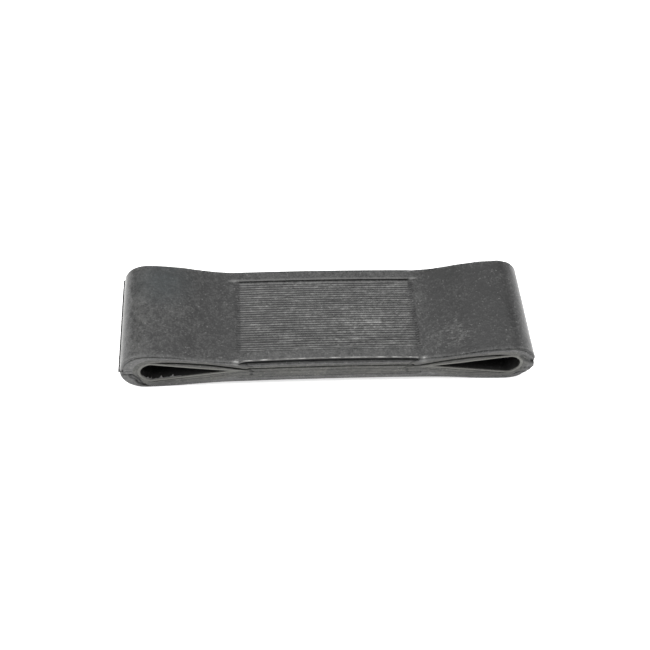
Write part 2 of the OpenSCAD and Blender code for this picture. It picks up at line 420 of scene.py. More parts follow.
def band(name, outer, inner, y0, y1, closed=False, rows=8, ripple=0.0, across=2,
         corners=(0.6, 0.6), shade=None, rim=0.0):
    """A bar between an outer and an inner outline of as many (x, z) points, from y0 to y1.

    corners are the radii along its inner and its outer edges, and rim is a tone for the outer ones,
    which the fillers use for painted shade.
    """
    middle = spread(0.34, 0.66, max(1, rows - 6))
    shares = [0, 0.03, 0.1, 0.22] + middle + [0.78, 0.9, 0.97, 1]
    front = [(y0, s, -1) for s in shares]
    over = [(y, 1, 0) for y in spread(y0, y1, across)[1:-1]]
    back = [(y1, s, 1) for s in reversed(shares)]
    under = [(y, 0, 0) for y in reversed(spread(y0, y1, across)[1:-1])]
    ring = front + over + back + under
    count = len(outer) if closed else len(outer) - 1

    def place(i, j):
        y, share, side = ring[j]
        a, b = outer[i], inner[i]
        thick = math.hypot(a[0] - b[0], a[1] - b[1])
        x = b[0] + (a[0] - b[0]) * share
        z = b[1] + (a[1] - b[1]) * share
        inset = 0.0
        if side:
            r = max(1e-6, min(corners[0] if share < 0.5 else corners[1], thick * 0.45))
            gap = min(share, 1 - share) * thick
            inset = r - math.sqrt(max(0.0, r * r - max(0.0, r - gap) ** 2))
            inset += ripple * (1 + uneven(x * 0.05, y, z * 0.3))
        own = rim if side and share > 0.88 else 0.0
        return Vector((x, y - side * inset, z)), own

    return lofted(name, count, len(ring), place, closed, shade)


# ---------------------------------------------------------------- materials

def linear(hex_value):
    """An sRGB hex value as linear RGBA."""
    channels = [int(hex_value[k:k + 2], 16) / 255 for k in (0, 2, 4)]
    light = [c / 12.92 if c <= 0.04045 else ((c + 0.055) / 1.055) ** 2.4 for c in channels]
    return (*light, 1.0)


def add(tree, kind, inputs=None, **settings):
    """Adds a node with its settings; an input is a value, or a socket to link from."""
    made = tree.nodes.new(kind)
    for key, value in settings.items():
        setattr(made, key, value)
    for key, value in (inputs or {}).items():
        if isinstance(value, bpy.types.NodeSocket):
            tree.links.new(value, made.inputs[key])
        else:
            made.inputs[key].default_value = value
    return made


def per_mm(size):
    """The texture scale that gives a feature of this many millimetres."""
    return 1 / (size * MM)


# Sockets of a Mix node that mixes colours.
MIX_SHARE, MIX_FROM, MIX_TO = 0, 6, 7
MIX_COLOUR = 2


def blank(name):
    """A new material with an empty tree, and its object coordinates."""
    made = bpy.data.materials.new(name)
    made.use_nodes = True
    tree = made.node_tree
    tree.nodes.clear()
    place = add(tree, "ShaderNodeTexCoord").outputs["Object"]
    return made, tree, place


RUBBER_IOR = 1.52
# Pale rubber, for wear and dust, and for painted highlights and painted reflections.
PALE_WEAR_AND_GLINT = "b6b6b4"
WEAR_AND_GLINT_FROM = 1.2  # the tone where pale wear and painted highlights and reflections start
WEAR_AND_GLINT_TO = 4.4  # the tone where they are full


def moulded_rubber(name, dark, pale, roughness=0.37, bloom=None):
    """Vulcanised natural rubber from a steel mould.

    The eye gets a soft grey from its sulphur bloom, in clouds, and a dull sheen broken by pebbling.
    Clouds are about 30 mm wide, mottling 6 mm, and the pebble 2.2 mm, as coarse as it has to be to
    show. bloom is a place and the colour of a stronger bloom round it.
    """
    made, tree, place = blank(name)
    cloud = add(tree, "ShaderNodeTexNoise", {
        "Vector": place, "Scale": per_mm(30), "Detail": 4.0, "Roughness": 0.55}).outputs[0]
    mottle = add(tree, "ShaderNodeTexNoise", {
        "Vector": place, "Scale": per_mm(6), "Detail": 3.0, "Roughness": 0.6}).outputs[0]
    pebble = add(tree, "ShaderNodeTexNoise", {
        "Vector": place, "Scale": per_mm(2.2), "Detail": 3.0, "Roughness": 0.6}).outputs[0]
    tone = add(tree, "ShaderNodeAttribute", attribute_name="tone").outputs["Fac"]

    # how much of the pale bloom shows, raised and lowered by the tone with its painted shade and
    # highlights
    share = 0.0
    for layer, weight in ((cloud, 0.5), (mottle, 0.7), (pebble, 1.1), (tone, 0.5)):
        share = add(tree, "ShaderNodeMath", {0: layer, 1: weight, 2: share},
                    operation="MULTIPLY_ADD").outputs[0]
    share = add(tree, "ShaderNodeMapRange", {
        "Value": share, "From Min": 0.83, "From Max": 1.5}).outputs[0]
    tint = add(tree, "ShaderNodeMix", {
        MIX_SHARE: share, MIX_FROM: linear(dark), MIX_TO: linear(pale)},
        data_type="RGBA").outputs[MIX_COLOUR]

    # pale wear and painted highlights and reflections where the tone is high, then specks of dust on
    # the tops of the pebble
    glint_and_wear_share = add(tree, "ShaderNodeMapRange", {
        "Value": tone, "From Min": WEAR_AND_GLINT_FROM, "From Max": WEAR_AND_GLINT_TO}).outputs[0]
    dust = add(tree, "ShaderNodeMapRange", {
        "Value": pebble, "From Min": 0.66, "From Max": 0.74, "To Max": 0.28}).outputs[0]
    for layer in (glint_and_wear_share, dust):
        tint = add(tree, "ShaderNodeMix", {
            MIX_SHARE: layer, MIX_FROM: tint, MIX_TO: linear(PALE_WEAR_AND_GLINT)},
            data_type="RGBA").outputs[MIX_COLOUR]
    if bloom:
        spot, shade = bloom
        off = add(tree, "ShaderNodeVectorMath", {0: place, 1: spot},
                  operation="DISTANCE").outputs["Value"]
        near = add(tree, "ShaderNodeMapRange", {
            "Value": off, "From Min": 40 * MM, "From Max": 8 * MM}).outputs[0]
        near = add(tree, "ShaderNodeMath", {0: near, 1: mottle}, operation="MULTIPLY").outputs[0]
        tint = add(tree, "ShaderNodeMix", {
            MIX_SHARE: near, MIX_FROM: tint, MIX_TO: linear(shade)},
            data_type="RGBA").outputs[MIX_COLOUR]

    # the sheen is uneven, and polished where the tone is high
    sheen = add(tree, "ShaderNodeMath", {0: cloud, 1: pebble}, operation="ADD").outputs[0]
    sheen = add(tree, "ShaderNodeMapRange", {
        "Value": sheen, "From Min": 0.7, "From Max": 1.3,
        "To Min": roughness - 0.09, "To Max": roughness + 0.12}).outputs[0]
    polish = add(tree, "ShaderNodeMapRange", {
        "Value": tone, "From Min": 0.6, "From Max": 2.0, "To Max": -0.17}).outputs[0]
    sheen = add(tree, "ShaderNodeMath", {0: sheen, 1: polish}, operation="ADD").outputs[0]

    fine = add(tree, "ShaderNodeBump", {
        "Height": pebble, "Strength": 1.0, "Distance": 0.3 * MM}).outputs[0]
    coarse = add(tree, "ShaderNodeBump", {
        "Height": mottle, "Strength": 1.0, "Distance": 0.5 * MM, "Normal": fine}).outputs[0]
    shader = add(tree, "ShaderNodeBsdfPrincipled", {
        "Base Color": tint, "Roughness": sheen, "IOR": RUBBER_IOR, "Normal": coarse})
    add(tree, "ShaderNodeOutputMaterial", {0: shader.outputs[0]})
    return made


YARN_SPACING = 2.17  # mm
WAVE_RADIANS = 20  # what a wave texture of scale 1 turns through in a metre


def coated_weave(name, yarn, gum):
    """Polyester duck dipped in rubber cement.

    The eye gets a dull plain weave whose yarns show dirty buff through the dark coat.
    """
    made, tree, place = blank(name)
    scale = math.tau / WAVE_RADIANS * per_mm(YARN_SPACING)
    across = add(tree, "ShaderNodeTexWave", {"Vector": place, "Scale": scale},
                 wave_type="BANDS", bands_direction="X").outputs[0]
    along = add(tree, "ShaderNodeTexWave", {"Vector": place, "Scale": scale},
                wave_type="BANDS", bands_direction="Y").outputs[0]
    weave = add(tree, "ShaderNodeMath", {0: across, 1: along}, operation="MULTIPLY").outputs[0]
    share = add(tree, "ShaderNodeMapRange", {
        "Value": weave, "From Min": 0.1, "From Max": 0.8}).outputs[0]
    tint = add(tree, "ShaderNodeMix", {
        MIX_SHARE: share, MIX_FROM: linear(gum), MIX_TO: linear(yarn)},
        data_type="RGBA").outputs[MIX_COLOUR]
    relief = add(tree, "ShaderNodeBump", {
        "Height": weave, "Strength": 0.6, "Distance": 0.2 * MM}).outputs[0]
    shader = add(tree, "ShaderNodeBsdfPrincipled", {
        "Base Color": tint, "Roughness": 0.85, "Normal": relief})
    add(tree, "ShaderNodeOutputMaterial", {0: shader.outputs[0]})
    return made


def studio_floor(hex_value):
    """Matt white paper, lit from behind.

    The eye gets an even white that stays pale under the link, with a faint grain 3 mm wide.
    """
    made, tree, place = blank("matt white paper")
    grain = add(tree, "ShaderNodeTexNoise", {"Vector": place, "Scale": per_mm(3)}).outputs[0]
    tint = add(tree, "ShaderNodeMix", {
        MIX_SHARE: grain, MIX_FROM: linear(hex_value), MIX_TO: linear("ffffff")},
        data_type="RGBA").outputs[MIX_COLOUR]
    shader = add(tree, "ShaderNodeBsdfPrincipled", {
        "Base Color": tint, "Roughness": 0.9,
        "Emission Color": linear("ffffff"), "Emission Strength": 0.6})
    add(tree, "ShaderNodeOutputMaterial", {0: shader.outputs[0]})
    return made


def dressed(obj, material, slot, *nodes):
    """Gives a new piece its finish and its body, and hides the CAD nodes that it stands for."""
    obj.data.materials.clear()
    obj.data.materials.append(material)
    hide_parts(*nodes)
    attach(obj, "root")


def side_shade(q):
    """Tone of the side faces: streaked along the layers, darker low down at both ends."""
    low = eased(9 - q.z, 0, 7) * eased(abs(q.x), 90, 150)
    return 0.6 * uneven(q.x * 0.02, 0, q.z * 0.45) - 0.6 * low


def liner_shade(q):
    """Tone of a liner: bloomed at its mouth, and painted shade inside the eye, which makes it dark.
    """
    mouth = eased(abs(q.y), HALF_W - 2.5, HALF_W)
    return 1.2 * mouth - 2.2 * (1 - mouth)


# ---------------------------------------------------------------- the covers

NOSE_STEPS = 26
FLANK_STEPS = 44
WAIST_STEPS = 72


def cover_stations(outside, loop, up, inner_waist=None):
    """Matched outer and inner outlines of a cover, from the left moulding line to the right one."""
    s = shape()
    outer, inner = [], []
    lift = outside.height - s.nose_r
    gap = (PARTING_Z - EYE_Z) * up
    start = math.asin(gap / PACK_R)
    for k in range(NOSE_STEPS + 1):
        t = k / NOSE_STEPS
        run = lift + s.nose_r * math.pi / 2
        at = t * run
        if at < lift:
            x, z = -HALF_L, at
        else:
            a = (at - lift) / s.nose_r
            x = -HALF_L + s.nose_r * (1 - math.cos(a))
            z = lift + s.nose_r * math.sin(a)
        outer.append((x, PARTING_Z + up * z))
        a = start + (math.pi / 2 - start) * t
        inner.append((LEFT_X - PACK_R * math.cos(a), EYE_Z + up * PACK_R * math.sin(a)))
    flat = HALF_L - s.waist_in
    flank = HALF_L - s.nose_r - flat
    left_turn, right_turn = LEFT_X + loop.turn_x, RIGHT_X - loop.turn_x

    def station(x_out, x_in):
        outer.append((x_out, PARTING_Z + up * outside.rise(x_out)))
        inner.append((x_in, EYE_Z + up * loop.half(x_in, PACK_T)))

    for k in range(1, FLANK_STEPS + 1):
        t = k / FLANK_STEPS
        station(-HALF_L + s.nose_r + flank * t, LEFT_X + (left_turn - LEFT_X) * t)
    for k in range(1, WAIST_STEPS):
        t = k / WAIST_STEPS
        station(-flat + 2 * flat * t, left_turn + (right_turn - left_turn) * t)
    for k in range(FLANK_STEPS, 0, -1):
        t = k / FLANK_STEPS
        station(HALF_L - s.nose_r - flank * t, RIGHT_X + (right_turn - RIGHT_X) * t)
    for k in range(NOSE_STEPS, -1, -1):
        x, z = outer[k]
        outer.append((-x, z))
        x, z = inner[k]
        inner.append((RIGHT_X - (x - LEFT_X), z))
    if inner_waist is not None:
        reach = CUSHION_HIGH.x
        inner = [(x, min(z, inner_waist)) if abs(x) < reach else (x, z) for x, z in inner]
    return outer, inner


# Going up a side: share of the wall below the shoulder, inset in the waist as a share of the
# slot depth, whether the row belongs to the lip above the slot, and depth of the trim line, which
# also sets its painted shadow.
SIDE_ROWS = [
    (0.0, 0.0, 0, 0.0), (0.14, 0.0, 0, 0.0), (0.27, 0.0, 0, 0.0), (0.34, 0.03, 0, 0.0),
    (0.385, 0.12, 0, 0.0), (0.42, 0.5, 0, 0.0), (0.43, 0.95, 0, 0.0), (0.55, 1.0, 0, 0.0),
    (0.7, 1.0, 0, 0.0), (0.79, 1.0, 0, 0.0), (0.81, 0.3, 1, 0.3), (0.87, 0.05, 1, 1.0),
    (0.92, 0.0, 1, 1.0), (0.96, 0.0, 1, 0.5), (1.0, 0.0, 1, 0.0),
]
SHOULDER_TURNS = [15, 35, 55, 75, 90]


def slot_mask(x):
    """1 along the slots beside the pad, 0 past their ends, a little further left than right."""
    reach = pad().pad_half_l + 2.5
    return eased(reach - abs(x + 2.5), -1.5, 1.5)


def lip_mask(x):
    """1 along the front lip, easing to 0 past the ends of the pad."""
    return eased(pad().pad_half_l + 8 - abs(x), 0, 12)


def pad_mask(x):
    """1 over the ribbed floor, ramping to 0 at its ends."""
    p = pad()
    return eased(p.pad_half_l + p.ramp - abs(x), 0, p.ramp)


def inside_pad(x, y):
    """1 on the ribbed floor, 0 off it."""
    p = pad()
    ends = eased(p.pad_half_l + 1.5 - abs(x), 0, 2.5)
    return ends * eased(y - p.front_y, 0.6, 1.8) * eased(p.back_y - 1.4 - y, 0, 1.4)


def rib_wave(x, y):
    """Depth of the ribs at this place as a share of their height, 0 on a crest."""
    p = pad()
    wave = 0.5 + 0.5 * math.cos(math.tau * (y - p.front_y - 1) / p.pitch)
    return wave * (1 + 0.35 * uneven(x * 0.05, y * 0.4, 3))


def pad_drop(x, y):
    """How far the top is pressed down at this place: the floor of the pad and its ribs."""
    p = pad()
    m = pad_mask(x)
    if m <= 0:
        return 0.0
    wall = eased(y - p.front_y, 0, 8) * eased(p.back_y - y, -0.35, 0.35)
    ribs = eased(y - p.front_y, 0.6, 1.2) * eased(p.back_y - 1.4 - y, 0, 1.4)
    bead = 0.3 * bump(y, p.back_y + 1, 0.7)
    return (p.depth * wall + p.rib_h * rib_wave(x, y) * ribs - bead) * m


def rib_tone(x, y):
    """Tone of the ribs: pale and streaked on their crests, painted shade in the grooves, one area
    paler from wear.
    """
    p = pad()
    rib = round((y - p.front_y) / p.pitch)
    streak = 0.8 * uneven(x * 0.035, rib * 3.7, 1) + 1.1 * uneven(x * 0.3, rib * 3.7, 6)
    wear_and_glint = 0.9 * (0.6 + uneven(x * 0.12, y * 0.12, 8)) * patch(x, y, 42, -10, 34, 20)
    # the grooves get painted shade, darker where they are deeper
    return 1.4 + 1.1 * streak - 2.7 * rib_wave(x, y) + wear_and_glint


def frame_tone(x, y):
    """Tone round the ribs: painted shade on the ramps, dull crowns, painted highlights at the
    corners, and a painted highlight and painted shade along the edges of the back wall.
    """
    p = pad()
    inner, past = p.pad_half_l + 1 - abs(x), p.pad_half_l + p.ramp - abs(x)
    # the ramps get painted shade on their slopes
    ramp = eased(past, 0, 2) - eased(inner, 0, 2)
    tone = -0.2 * ramp * eased(HALF_W - 12 - abs(y), 0, 4)
    middle = eased(p.pad_half_l + 12 - abs(x), 0, 24)
    tone -= 0.15 * middle * (1 - eased(HALF_W - 13 - abs(y), 0, 4))
    tone -= 0.45 * (1 - middle) * eased(HALF_W - 2 - abs(y), 0, 1)
    # painted highlights where the lip edge and the back bead end
    for end in (-1, 1):
        tone += 3.4 * patch(x, y, end * 101.5, 1.2 - HALF_W, 2.4, 1.1)
        tone += 2.2 * patch(x, y, end * 102, p.back_y + 1, 4, 1.3)
    # painted highlight along the bead over the back wall, painted shade at its foot
    wall = 3.2 * bump(y, p.back_y + 1, 0.5) - 0.9 * bump(y, p.back_y, 0.35)
    return tone + slot_mask(x) * wall


def end_tone(x, y, z):
    """Tone of the two ends: a painted reflection of the white floor on the noses, a paler left crown
    and a gritty patch on the right.
    """
    grit = max(0.0, uneven(x * 0.55, y * 0.55, 2))
    tone = (0.2 + 2.4 * grit) * patch(x, y, 137, -34, 26, 18)
    # painted reflection of the white floor on the grazing faces of the noses
    wear_and_glint = 1.8 * (1 + 0.5 * uneven(x * 0.2, y * 0.07, z * 0.14))
    tone += wear_and_glint * eased(-x, HALF_L - 6, HALF_L)
    tone += wear_and_glint * eased(x, HALF_L - 9, HALF_L) * eased(y, 2 - HALF_W, 8 - HALF_W)
    return tone + 0.6 * patch(x, y, -203, 0, 9, 90) - 0.25 * eased(x, 105, 125)


def top_shade(q):
    """Tone of the top cover at a place."""
    ribs = inside_pad(q.x, q.y) * rib_tone(q.x, q.y)
    return ribs + frame_tone(q.x, q.y) + end_tone(*q)


def top_rows():
    """The rows of points across the top between the two shoulders, as (kind, value)."""
    p = pad()
    rows = [("front", t) for t in (0.0, 0.25, 0.5, 0.75, 0.92)]
    start, end = p.front_y - 0.5, p.back_y + 0.5
    count = round((end - start) / p.pitch * 7)
    rows += [("pad", y) for y in spread(start, end, count)]
    rows += [("back", t) for t in (0.92, 0.75, 0.5, 0.25, 0.0)]
    return rows


def top_ring():
    """One ring of the top cover: up the front side, across the top, down the back, under."""
    ring = [("side", -1, row) for row in SIDE_ROWS]
    ring += [("turn", -1, a) for a in SHOULDER_TURNS[:-1]]
    ring += [("over", *row) for row in top_rows()]
    ring += [("turn", 1, a) for a in reversed(SHOULDER_TURNS[:-1])]
    ring += [("side", 1, row) for row in reversed(SIDE_ROWS)]
    ring += [("under", HALF_W * t, None) for t in (0.5, 0.0, -0.5)]
    return ring


class RUBBERLINK_OT_top_cover(bpy.types.Operator):
    """Build the top cover with its ribbed pad, lips and slots"""

    bl_idname = "rubberlink.top_cover"
    bl_label = "Top Cover"

    def execute(self, context):
        s, p = shape(), pad()
        loop = Loop()
        outside = Outside(END_H - PARTING_Z, END_H - WAIST_TOP)
        outer, inner = cover_stations(outside, loop, 1)
        ring = top_ring()

        def place(i, j):
            kind, a, b = ring[j]
            o, n = outer[i], inner[i]  # the stations on the outside and on the plies
            thick = math.hypot(o[0] - n[0], o[1] - n[1])
            down = ((n[0] - o[0]) / thick, (n[1] - o[1]) / thick)
            m = slot_mask(o[0])
            on_lip = lip_mask(o[0])
            r = s.shoulder + (s.lip_round - s.shoulder) * on_lip
            front = p.lip_back + 1.0 * max(0.0, 1 - (o[0] / p.pad_half_l) ** 2)
            lip = on_lip * (front if a in (-1, "front") else 0.0)
            edge = HALF_W - lip - r
            trimmed = (1 - m) * (0.25 + 0.75 * eased(abs(o[0]), 150, 200))
            ragged = 1 + uneven(o[0] * 0.12, o[1] * 0.12, 4)
            ragged += 0.6 * uneven(o[0] * 0.45, o[1] * 0.45, 0 if kind == "over" else a)
            own = 0.0
            if kind == "side":
                share, deep, is_lip, trim = b
                inset = lip if is_lip else deep * p.slot_d * m
                own = -2.2 * deep * m + (0.9 * m if is_lip else 0.0)  # painted shade in the slots, painted highlight on the lips
                inset += 0.6 * trim * ragged * trimmed
                # painted shadow under the ragged trim line
                own -= 2.0 * trim * ragged * trimmed
                drop = r + (1 - share) * (thick - r)
                y = a * (HALF_W - inset)
            elif kind == "turn":
                turn = math.radians(b)
                drop = r * (1 - math.sin(turn)) - 0.45 * (ragged - 1) * (1 - m)
                y = a * (edge + r * math.cos(turn))
                # painted highlight along the edge of the lip, fainter along the back
                own = 3.4 * m * (ragged - 0.3) if a < 0 else 0.6
            elif kind == "under":
                drop = thick
                y = a
            elif a == "pad":
                y = b
                drop = pad_drop(o[0], y)
            else:
                side, wall = (-1, p.front_y - 0.5) if a == "front" else (1, p.back_y + 0.5)
                y = side * edge + (wall - side * edge) * b
                drop = pad_drop(o[0], y)
            if kind == "over":
                drop -= 0.12 * uneven(o[0] * 0.03, y * 0.05, 0)
            return Vector((o[0] + down[0] * drop, y, o[1] + down[1] * drop)), own

        obj = lofted("top_cover", len(outer) - 1, len(ring), place, shade=top_shade)
        c = hexes()
        bloom = ((-178 * MM, 38 * MM, 55 * MM), c.bloom)
        finish = moulded_rubber("moulded cover rubber", c.cover, c.cover_pale, bloom=bloom)
        dressed(obj, finish, "cover_rubber", "cover_top")
        return {"FINISHED"}


FLASH_T = 0.8  # thickness of the flash, mm
TEAR_W = 12  # of the front of the right nose, where the flash is torn away, mm


class RUBBERLINK_OT_flash(bpy.types.Operator):
    """Build the fin of flash that the mould left along each nose"""

    bl_idname = "rubberlink.flash"
    bl_label = "Flash"

    def execute(self, context):
        c = hexes()
        finish = moulded_rubber("moulded flash rubber", c.cover, c.cover_pale, 0.85)
        for side, name in ((-1, "flash_left"), (1, "flash_right")):
            self.fin(side, name, finish)
        return {"FINISHED"}

    def fin(self, side, name, finish):
        """One ragged fin: long on the left nose, worn to a stub on the right, short of its tear."""
        ys = spread(-HALF_W if side < 0 else TEAR_W - HALF_W, HALF_W, 150)
        profile = [(-3.0, 0.0), (0.3, 0.0), (0.85, 0.06), (1.0, 0.35), (0.95, 0.75), (0.3, 0.95),
                   (-3.0, 0.95)]

        def place(i, j):
            y = ys[i]
            reach, rise = profile[j]
            rough = uneven(y * 0.22, side, 0) + 0.5 * uneven(y * 0.9, side, 4)
            if side < 0:
                tip = FLASH_L * (1.05 + 0.08 * rough)
            else:
                tip = FLASH_L * min(0.25, max(0.1, 0.2 + 0.4 * rough))
            x = HALF_L + (reach * tip if reach > 0 else reach)
            curl = 0.3 * rough if side > 0 and reach > 0.5 else 0.0
            return Vector((side * x, y, PARTING_Z + FLASH_T * rise + curl)), -3.0

        obj = lofted(name, len(ys) - 1, len(profile), place)
        dressed(obj, finish, "cover_rubber", "cover_top")


class RUBBERLINK_OT_bottom_cover(bpy.types.Operator):
    """Build the bottom cover and the cushion sheet above it"""

    bl_idname = "rubberlink.bottom_cover"
    bl_label = "Bottom Cover and Cushion"

    def execute(self, context):
        loop = Loop()
        outside = Outside(PARTING_Z, WAIST_BOTTOM)
        outer, inner = cover_stations(outside, loop, -1, CUSHION_LOW.z)
        c = hexes()
        obj = band("bottom_cover", outer, inner, -HALF_W, HALF_W, rows=12, across=40,
                   ripple=0.08, corners=(0.1, 0.7), shade=side_shade)
        dressed(obj, moulded_rubber("moulded underside rubber", c.cover, c.cover_pale),
                "cover_rubber", "cover_bottom")
        xs = spread(CUSHION_LOW.x, CUSHION_HIGH.x, 60)
        above = [(x, EYE_Z - loop.half(x, PACK_T)) for x in xs]
        below = [(x, CUSHION_LOW.z) for x in xs]
        obj = band("cushion", above, below, -HALF_W, HALF_W, rows=8, ripple=0.15,
                   corners=(0.5, 0.5), shade=side_shade)
        dressed(obj, moulded_rubber("cushion rubber", c.edge, c.side_pale, 0.55),
                "cushion_rubber", "cushion_bottom")
        return {"FINISHED"}


# ---------------------------------------------------------------- layers and liners

def loop_outline(loop, d):
    """The whole closed path of the plies, starting at the left nose and going over the top."""
    turns = [math.pi / 2 * k / 14 for k in range(14)]
    left = loop.round_end(-1, d, turns)
    right = loop.round_end(1, d, turns)
    xs = spread(LEFT_X, RIGHT_X, 150)
    over = [(x, loop.half(x, d)) for x in xs]
    top = left + over + list(reversed(right[1:]))
    path = top + [(right[0][0], 0.0)]
    path += [(x, -z) for x, z in reversed(top[1:])]
    return [(x, EYE_Z + z) for x, z in path]


class RUBBERLINK_OT_edge_gum(bpy.types.Operator):
    """Build the gum strips that close the ply edges along both sides"""

    bl_idname = "rubberlink.edge_gum"
    bl_label = "Edge Gum"

    def execute(self, context):
        loop = Loop()
        outer, inner = loop_outline(loop, PACK_T), loop_outline(loop, 0.0)
        c = hexes()
        finish = moulded_rubber("edge gum rubber", c.edge, c.side_pale, 0.55)
        for name, y0, y1 in (("edge_gum_front", -HALF_W, EDGE_T - HALF_W),
                             ("edge_gum_back", HALF_W - EDGE_T, HALF_W)):
            # the edge gum gets painted shade along the slit above each liner
            obj = band(name + "_strip", outer, inner, y0, y1, closed=True, rows=14,
                       ripple=0.06, corners=(0.35, 0.05), across=2,
                       shade=lambda q: side_shade(q) - 2.0 * by_slit(q.x, q.z))
            dressed(obj, finish, "edge_rubber", name)
        return {"FINISHED"}


def teardrop_outline(side, r, tip, sag=0.0):
    """Closed outline of one eye: round at the nose, straight flanks to a tip this far in."""
    axis = LEFT_X if side < 0 else RIGHT_X
    turns = spread(math.pi / 2 + EYE_A, 3 * math.pi / 2 - EYE_A, 36)
    r += sag / 2
    rounds = [(r * math.cos(a), r * math.sin(a) - sag / 2) for a in turns]
    end = rounds[-1]
    start = rounds[0]
    flank = [(end[0] * (1 - t) + tip * t, end[1] * (1 - t)) for t in spread(0, 1, 40)[1:]]
    home = [(tip * (1 - t) + start[0] * t, start[1] * t) for t in spread(0, 1, 40)[1:-1]]
    return [(axis - side * x, EYE_Z + z) for x, z in rounds + flank + home]


class RUBBERLINK_OT_liners(bpy.types.Operator):
    """Build the liner wrapped round each eye"""

    bl_idname = "rubberlink.liners"
    bl_label = "Eye Liners"

    def execute(self, context):
        c = hexes()
        finish = moulded_rubber("eye liner rubber", c.liner, c.side_pale, 0.55)
        for side, node in ((-1, "liner_left"), (1, "liner_right")):
            outer = teardrop_outline(side, LOOP_R, TAIL_REACH)
            point = PIN_R / math.sin(EYE_A) + shape().eye_point
            inner = teardrop_outline(side, PIN_R, point, shape().eye_sag)
            obj = band(node + "_wrap", outer, inner, -HALF_W, HALF_W, closed=True, rows=8,
                       ripple=0.12, corners=(1.3, 0.1), across=30, shade=liner_shade)
            dressed(obj, finish, "liner_rubber", node)
        return {"FINISHED"}


FIRST_SHRED = math.radians(205)  # round the left eye, from the inward side
ROUND_SHARE = 0.45  # of the row of shreds lies on the round of the mouth
ROW_L = 60  # the row's length, if all of it ran along the flank, mm


class RUBBERLINK_OT_shreds(bpy.types.Operator):
    """Build the torn shreds that hang in the mouth of the left eye"""

    bl_idname = "rubberlink.shreds"
    bl_label = "Shreds"

    def execute(self, context):
        c = hexes()
        finish = moulded_rubber("torn liner rubber", c.liner, c.cover_pale, 0.65)
        along = spread(0.0, 1.0, 110)
        profile = [(-0.8, -0.2), (0.5, 0.0), (1.0, 0.2), (0.9, 0.5), (0.45, 0.9), (-0.8, 1.2)]

        def mouth(t):
            """A place on the lower edge of the mouth and the way in from it."""
            last = math.radians(270) - EYE_A
            a = FIRST_SHRED + (last - FIRST_SHRED) * min(1.0, t / ROUND_SHARE)
            slide = max(0.0, t - ROUND_SHARE) * ROW_L
            x = LEFT_X + PIN_R * math.cos(a) + slide * math.cos(EYE_A)
            z = EYE_Z + PIN_R * math.sin(a) - shape().eye_sag + slide * math.sin(EYE_A)
            return x, z, -math.cos(a), -math.sin(a)

        def place(i, j):
            t = along[i]
            x, z, in_x, in_z = mouth(t)
            rough = uneven(t * 14, 0, 2) + 0.6 * uneven(t * 45, 0, 9)
            fade = math.sin(math.pi * t) ** 0.5
            reach, back = profile[j]
            tip = (0.3 + 6.6 * max(0.0, rough)) * fade
            step = reach * tip if reach > 0 else reach
            curl = 0.8 * rough * max(0.0, reach)
            y = 0.9 - HALF_W + back + curl
            return Vector((x + in_x * step, y, z + in_z * step)), 2.2 * max(0.0, reach) - 0.4

        obj = lofted("left_mouth_shreds", len(along) - 1, len(profile), place)
        dressed(obj, finish, "liner_rubber", "liner_left")
        return {"FINISHED"}


def liner_half(side, x):
    """Half height of a liner's outer face at x."""
    u = x - LEFT_X if side < 0 else RIGHT_X - x
    return max(0.0, (LOOP_R - u * math.sin(EYE_A)) / math.cos(EYE_A))


THIN_EDGE = 0.01  # least thickness of a filler, mm


def filler_half(loop, side, x, gap):
    """Half height at x of a filler's outer face: this gap inside the plies, outside the liner."""
    return max(loop.half(x, -gap), liner_half(side, x) + THIN_EDGE)


class RUBBERLINK_OT_fillers(bpy.types.Operator):
    """Build the centre filler and the four crotch fillers"""

    bl_idname = "rubberlink.fillers"
    bl_label = "Fillers"

    def execute(self, context):
        loop = Loop()
        c = hexes()
        finish = moulded_rubber("filler rubber", c.filler, c.side_pale, 0.55)
        xs = spread(CORE_LOW.x, CORE_HIGH.x, 70)
        obj = band("centre_filler_slab", [(x, CORE_HIGH.z) for x in xs],
                   [(x, CORE_LOW.z) for x in xs], -HALF_W, HALF_W, rows=8, ripple=0.12,
                   corners=(0.5, 0.9), shade=side_shade)
        dressed(obj, finish, "filler_rubber", "centre_filler")
        for side, word in ((-1, "left"), (1, "right")):
            for up, level in ((1, "top"), (-1, "bottom")):
                node = f"filler_{word}_{level}"
                low, high = box_mm(node)
                near, far = (high.x, low.x) if side < 0 else (low.x, high.x)
                xs = spread(near, far, 60)
                gap = loop.half(far, 0.0) - (high.z - EYE_Z) if up > 0 else 0.0
                over = [(x, EYE_Z + up * filler_half(loop, side, x, gap)) for x in xs]
                under = [(x, EYE_Z + up * liner_half(side, x)) for x in xs]
                # rim: painted shade along the outer edge of each filler, where it meets the plies
                obj = band(node + "_wedge", over, under, -HALF_W, HALF_W, rows=8,
                           ripple=0.05, corners=(0.05, 1.5 if up > 0 else 0.5),
                           shade=side_shade, rim=-3.5 if up > 0 else -1.6)
                dressed(obj, finish, "filler_rubber", node)
        return {"FINISHED"}


class RUBBERLINK_OT_inner_layers(bpy.types.Operator):
    """Give the sealed plies and skim layers their fabric and rubber"""

    bl_idname = "rubberlink.inner_layers"
    bl_label = "Plies and Skims"

    def execute(self, context):
        c = hexes()
        weave = coated_weave("coated polyester weave", c.ply, c.skim)
        gum = moulded_rubber("skim rubber", c.skim, c.cover, 0.7)
        for name, node in frame["nodes"].items():
            finish = weave if name.startswith("ply") else gum if name.startswith("skim") else None
            if finish:
                node.data.materials.clear()
                node.data.materials.append(finish)
        return {"FINISHED"}


# ---------------------------------------------------------------- the stage

FLOOR_HALF = 30.0  # m
FLOOR_GAP = 0.5  # below the link, mm
SENSOR_W = 36.0  # mm

